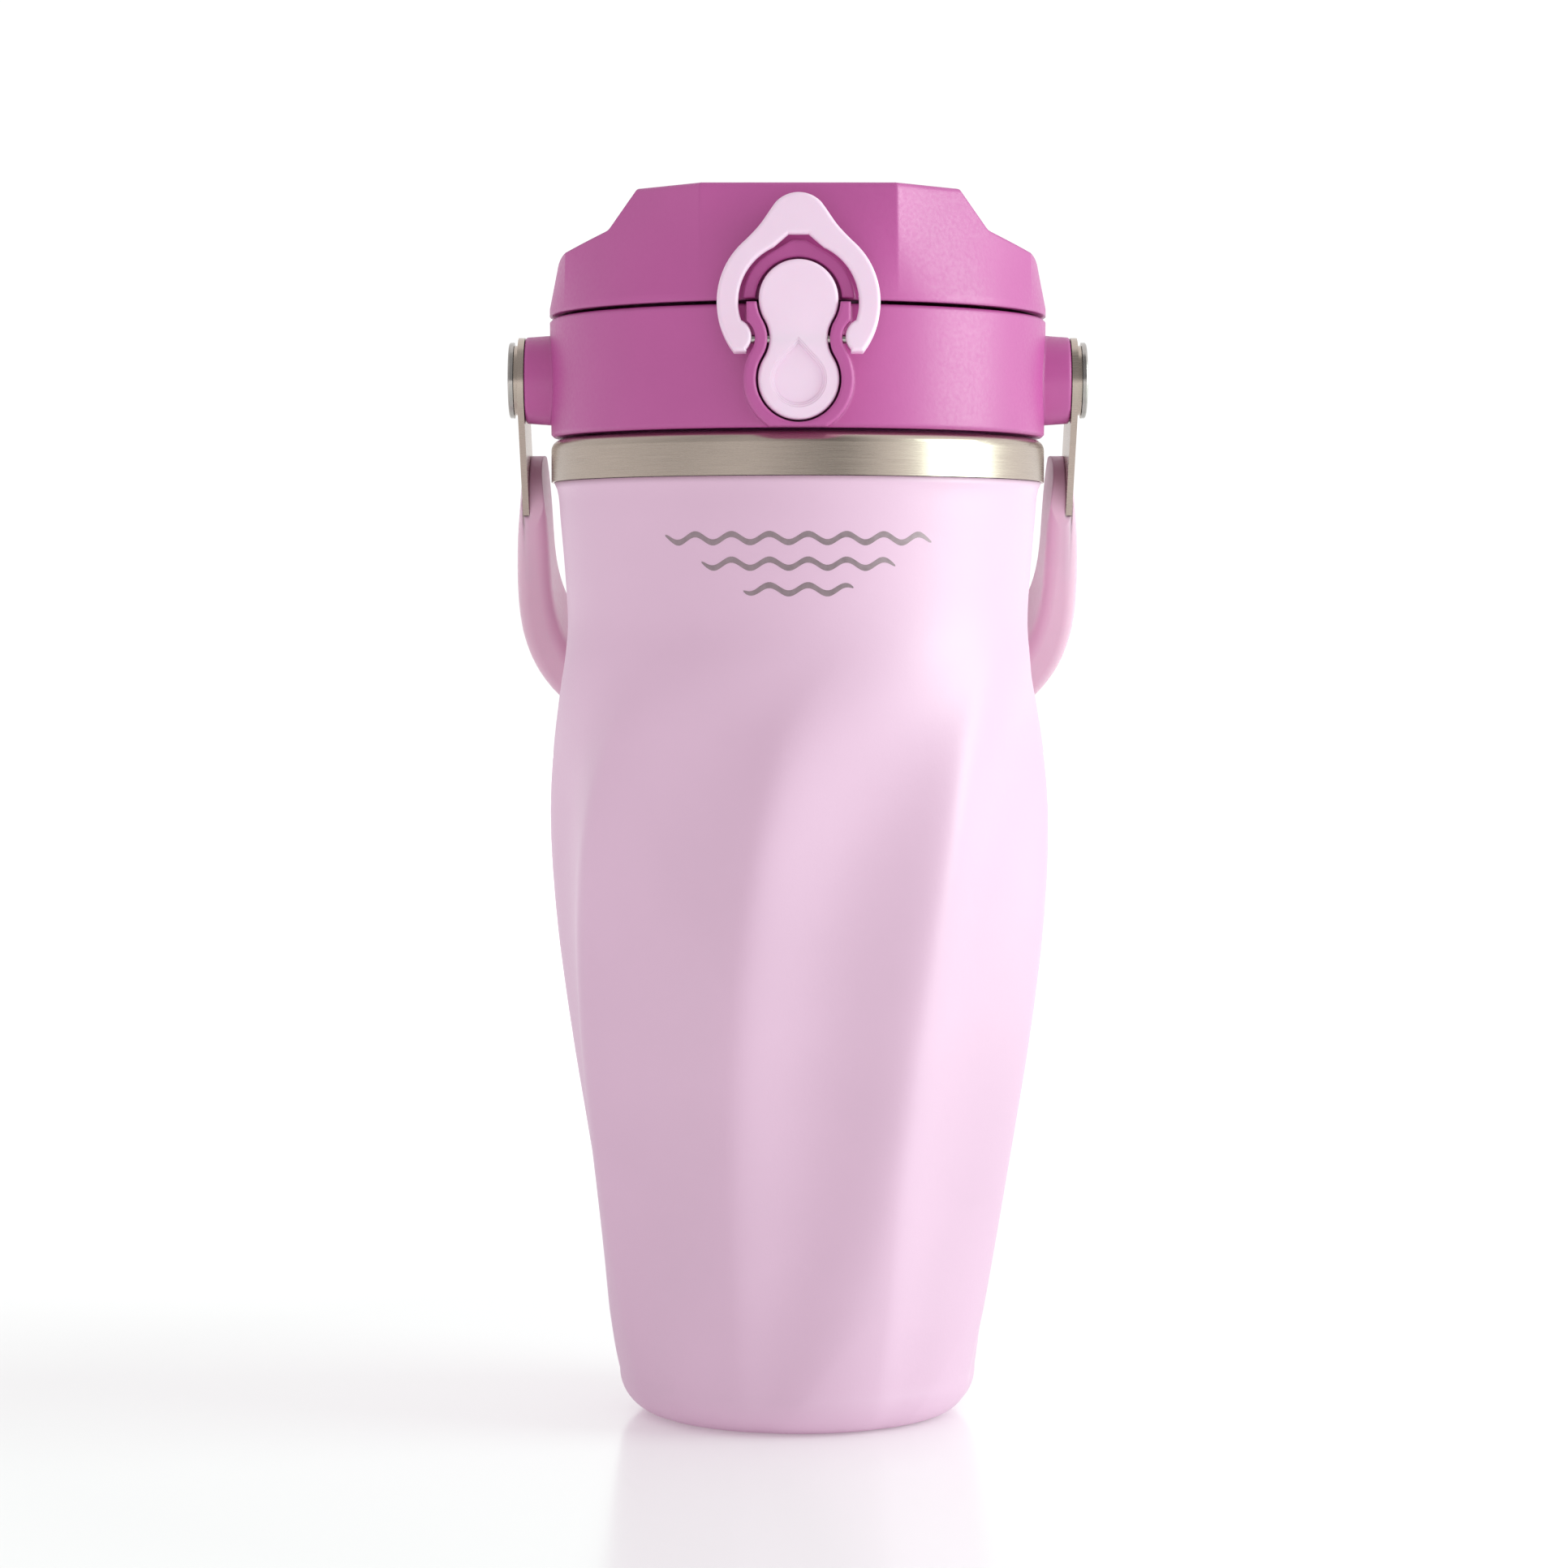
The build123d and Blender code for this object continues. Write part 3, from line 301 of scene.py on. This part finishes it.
def etched_metal():
    """Darker, matt metal of the etched waves."""
    look = Look("etched_metal", (0.33, 0.25, 0.28), 0.45, metallic=0.7)
    grain = look.noise(900.0, detail=3.0)
    look.tint(grain, dark=0.85, light=1.12)
    look.roughen(grain, low=0.38, high=0.52)
    look.bump((grain, 0.01 * MM, 0.5))
    return look.material


LOOKS = {
    "powder_coat": powder_coat(),
    "brushed_steel": turned_steel("brushed_steel", (0.52, 0.435, 0.375), 0.27),
    "liner_steel": plain_steel("liner_steel", (0.60, 0.59, 0.57), 0.28),
    "polished_steel": plain_steel("polished_steel", (0.46, 0.43, 0.41), 0.2),
    "lid_plastic": moulded_plastic(
        "lid_plastic", (0.505, 0.083, 0.325), 0.40, grain_scale=1500.0, grain_depth=0.03 * MM, edge=0.8 * MM
    ),
    "latch_plastic": moulded_plastic(
        "latch_plastic", (0.95, 0.70, 0.87), 0.34, grain_scale=900.0, grain_depth=0.01 * MM, edge=0.2 * MM,
        subsurface=0.25,
    ),
    "grip_plastic": moulded_plastic(
        "grip_plastic", (0.75, 0.46, 0.595), 0.38, grain_scale=1100.0, grain_depth=0.015 * MM, edge=0.6 * MM,
        subsurface=0.15,
    ),
    "silicone": moulded_plastic(
        "silicone", (0.72, 0.55, 0.66), 0.5, grain_scale=700.0, grain_depth=0.01 * MM, edge=0.4 * MM,
        subsurface=0.2,
    ),
}

for part in frame["record"]["subparts"]:
    node = frame["nodes"][part["node"]]
    node.data.materials.clear()
    node.data.materials.append(LOOKS[part["material_slot"]])


# ---------------------------------------------------------------- meshes
def new_object(name, data):
    made = bpy.data.objects.new(name, data)
    bpy.context.scene.collection.objects.link(made)
    return made


def new_piece(name, vertices, faces, material, smooth):
    """Mesh object in one material."""
    mesh = bpy.data.meshes.new(name)
    mesh.from_pydata(vertices, [], faces)
    mesh.validate()
    mesh.materials.append(material)
    for polygon in mesh.polygons:
        polygon.use_smooth = smooth
    return new_object(name, mesh)


# ---------------------------------------------------------------- bottle wall
def smooth_value(points, column, z):
    """Value of a column at height z, on a smooth curve through the points."""
    if z <= points[0][0]:
        return points[0][column]
    if z >= points[-1][0]:
        return points[-1][column]
    last = len(points) - 1
    i = max(k for k in range(last) if points[k][0] <= z)

    def slope(k):
        low = points[max(k - 1, 0)]
        high = points[min(k + 1, last)]
        return (high[column] - low[column]) / (high[0] - low[0])

    step = points[i + 1][0] - points[i][0]
    t = (z - points[i][0]) / step
    rise = (2 * t**3 - 3 * t**2 + 1) * points[i][column] + (3 * t**2 - 2 * t**3) * points[i + 1][column]
    bend = (t**3 - 2 * t**2 + t) * slope(i) + (t**3 - t**2) * slope(i + 1)
    return rise + step * bend


def ridge_angle(z):
    """Where the first ridge stands at height z, in radians round the bottle."""
    climbed = (z - TWIST_BOTTOM) / (TWIST_TOP - TWIST_BOTTOM)
    climbed = min(max(climbed, 0.0), CURL_LIMIT)
    return math.radians(RIDGE_START + RIDGE_LEAN * climbed**2 + RIDGE_CURL * climbed**CURL_POWER)


def body_radius(z, angle):
    """Outer radius of the fluted wall at height z, at an angle measured from the front."""
    across = 2 * ((angle - ridge_angle(z)) * FLUTES / (2 * math.pi) % 1.0) - 1
    climbed = min(z / TWIST_TOP, 1.0)
    rounding = RIDGE_ROUNDING_FOOT + (RIDGE_ROUNDING_TOP - RIDGE_ROUNDING_FOOT) * climbed
    slant = FLUTE_SLANT_FOOT + (FLUTE_SLANT_TOP - FLUTE_SLANT_FOOT) * climbed
    from_ridge = math.hypot(1 - abs(across), rounding) - rounding
    full = math.hypot(1, rounding) - rounding
    dish = 1 - (1 - from_ridge / full) ** 2
    depth = smooth_value(BODY_PROFILE, 2, z - slant * across)
    inset = 0.0
    if z < BASE_CORNER:
        inset = BASE_CORNER - math.sqrt(BASE_CORNER**2 - (BASE_CORNER - z) ** 2)
    return smooth_value(BODY_PROFILE, 1, z) - depth * dish - inset


def wall_point(radius, angle, z):
    """Place of a point in metres, from millimetres and an angle measured from the front."""
    return (radius * math.sin(angle) * MM, -radius * math.cos(angle) * MM, z * MM)


def bottle_wall():
    """Closed shell: up the outside, down the inside, and in to the hole that the base plate fills."""
    corner = [BASE_CORNER * (1 - math.cos(math.radians(a))) for a in range(0, 90, CORNER_STEP)]
    side_height = SHELL_TOP - BASE_CORNER
    steps = int(side_height / WALL_ROW)
    heights = corner + [BASE_CORNER + side_height * k / steps for k in range(steps + 1)]
    outside = [(z, 0.0) for z in heights]
    inside = [(z, SHELL_WALL) for z in reversed(heights) if z > SHELL_WALL]
    angles = [2 * math.pi * k / WALL_COLUMNS for k in range(WALL_COLUMNS)]
    vertices = []
    for z, inset in outside + inside:
        vertices += [wall_point(body_radius(z, angle) - inset, angle, z) for angle in angles]
    for z in (SHELL_WALL, 0.0):
        vertices += [wall_point(BASE_HOLE_RADIUS, angle, z) for angle in angles]
    rows = len(vertices) // WALL_COLUMNS
    faces = []
    for row in range(rows):
        low = row * WALL_COLUMNS
        high = (row + 1) % rows * WALL_COLUMNS
        for k in range(WALL_COLUMNS):
            n = (k + 1) % WALL_COLUMNS
            faces.append((low + k, low + n, high + n, high + k))
    return new_piece("bottle_wall", vertices, faces, LOOKS["powder_coat"], smooth=True)


wall = bottle_wall()
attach(wall, "bottle")
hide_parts("outer_shell")


# ---------------------------------------------------------------- etched waves on the neck
def etched_wave(name, z, length, material):
    """Thin wavy strip just proud of the neck, tapered to its ends."""
    steps = int(length * WAVE_STEPS_PER_MM)
    vertices = []
    for k in range(steps + 1):
        along = length * (k / steps - 0.5)
        middle = z + WAVE_HEIGHT * math.sin(2 * math.pi * along / WAVE_PITCH)
        to_end = min(1.0, (length / 2 - abs(along)) / WAVE_TAPER)
        half = WAVE_HALF_WIDTH * (WAVE_TIP + (1 - WAVE_TIP) * math.sqrt(to_end))
        for side in (1, -1):
            height = middle + side * half
            for skin in WAVE_SKIN[::side]:
                radius = body_radius(height, 0.0) + skin
                vertices.append(wall_point(radius, along / radius, height))
    last = 4 * steps
    faces = [(0, 1, 2, 3), (last + 3, last + 2, last + 1, last)]
    for k in range(steps):
        for c in range(4):
            a = 4 * k + c
            b = 4 * k + (c + 1) % 4
            faces.append((b, a, a + 4, b + 4))
    return new_piece(name, vertices, faces, material, smooth=False)


etched = etched_metal()
for number, (height, length) in enumerate(WAVES, start=1):
    wave = etched_wave(f"etched_wave_{number}", height, length, etched)
    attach(wave, "bottle")


# ---------------------------------------------------------------- stage, light, camera
def camera():
    """Camera at the photograph's viewing angle."""
    data = bpy.data.cameras.new("camera")
    data.lens = LENS
    data.sensor_width = SENSOR
    viewer = new_object("camera", data)
    viewer.location = EYE
    viewer.rotation_euler = (math.radians(90 - TILT), 0, 0)
    bpy.context.scene.camera = viewer


def floor():
    """Pale, glossy floor that glows more the further it is from the bottle."""
    look = Look("floor", (0.86, 0.86, 0.86), 0.16)
    look.fix("Specular IOR Level", 0.4)
    look.fix("Emission Color", (*WHITE, 1))
    look.roughen(look.noise(2.0), low=0.13, high=0.20)
    distance = look.node("ShaderNodeVectorMath", operation="LENGTH")
    look.link(look.coords, distance.inputs[0])
    glow = look.ranged(distance.outputs["Value"], GLOW_DISTANCE, GLOW_LEVEL)
    look.link(glow, look.shader.inputs["Emission Strength"])
    corners = [(x * FLOOR_HALF, y * FLOOR_HALF, 0) for x, y in ((-1, -1), (1, -1), (1, 1), (-1, 1))]
    new_piece("floor", corners, [(0, 1, 2, 3)], look.material, smooth=False)


def key_light():
    """Large soft light on the right."""
    data = bpy.data.lights.new("key_right", "AREA")
    data.shape = "RECTANGLE"
    data.size, data.size_y = KEY_SIZE
    data.energy = KEY_POWER
    data.color = KEY_COLOR
    lamp = new_object("key_right", data)
    lamp.location = KEY_PLACE
    lamp.rotation_euler = (Vector(KEY_TARGET) - Vector(KEY_PLACE)).to_track_quat("-Z", "Y").to_euler()


def studio_world():
    """White surroundings, dimmer as a light, with darker zones that only glossy surfaces mirror."""
    world = bpy.data.worlds.new("studio")
    bpy.context.scene.world = world
    studio = Nodes(world)
    background = studio.tree.nodes["Background"]
    direction = studio.split(studio.node("ShaderNodeTexCoord").outputs["Generated"])
    front = studio.node("ShaderNodeMath", operation="MULTIPLY")
    front.inputs[1].default_value = -1.0
    studio.link(direction["Y"], front.inputs[0])
    turn = studio.angle(direction["X"], front.outputs["Value"])
    ramp = studio.node("ShaderNodeValToRGB")
    ramp.color_ramp.elements[0].color = (*WHITE, 1)
    for degrees, brightness in SURROUNDINGS:
        stop = ramp.color_ramp.elements.new((degrees + 180) / 360)
        stop.color = (brightness, brightness, brightness, 1)
    studio.link(studio.ranged(turn, (-math.pi, math.pi), (0, 1)), ramp.inputs["Fac"])
    rays = studio.node("ShaderNodeLightPath")
    mirrored = studio.node("ShaderNodeMixRGB")
    mirrored.inputs["Color1"].default_value = (*WHITE, 1)
    studio.link(rays.outputs["Is Glossy Ray"], mirrored.inputs["Fac"])
    studio.link(ramp.outputs["Color"], mirrored.inputs["Color2"])
    studio.link(mirrored.outputs["Color"], background.inputs["Color"])
    level = studio.ranged(rays.outputs["Is Diffuse Ray"], (0, 1), (WORLD_SEEN, WORLD_LIGHTING))
    studio.link(level, background.inputs["Strength"])


camera()
floor()
key_light()
studio_world()
bpy.context.scene.view_settings.view_transform = "Standard"
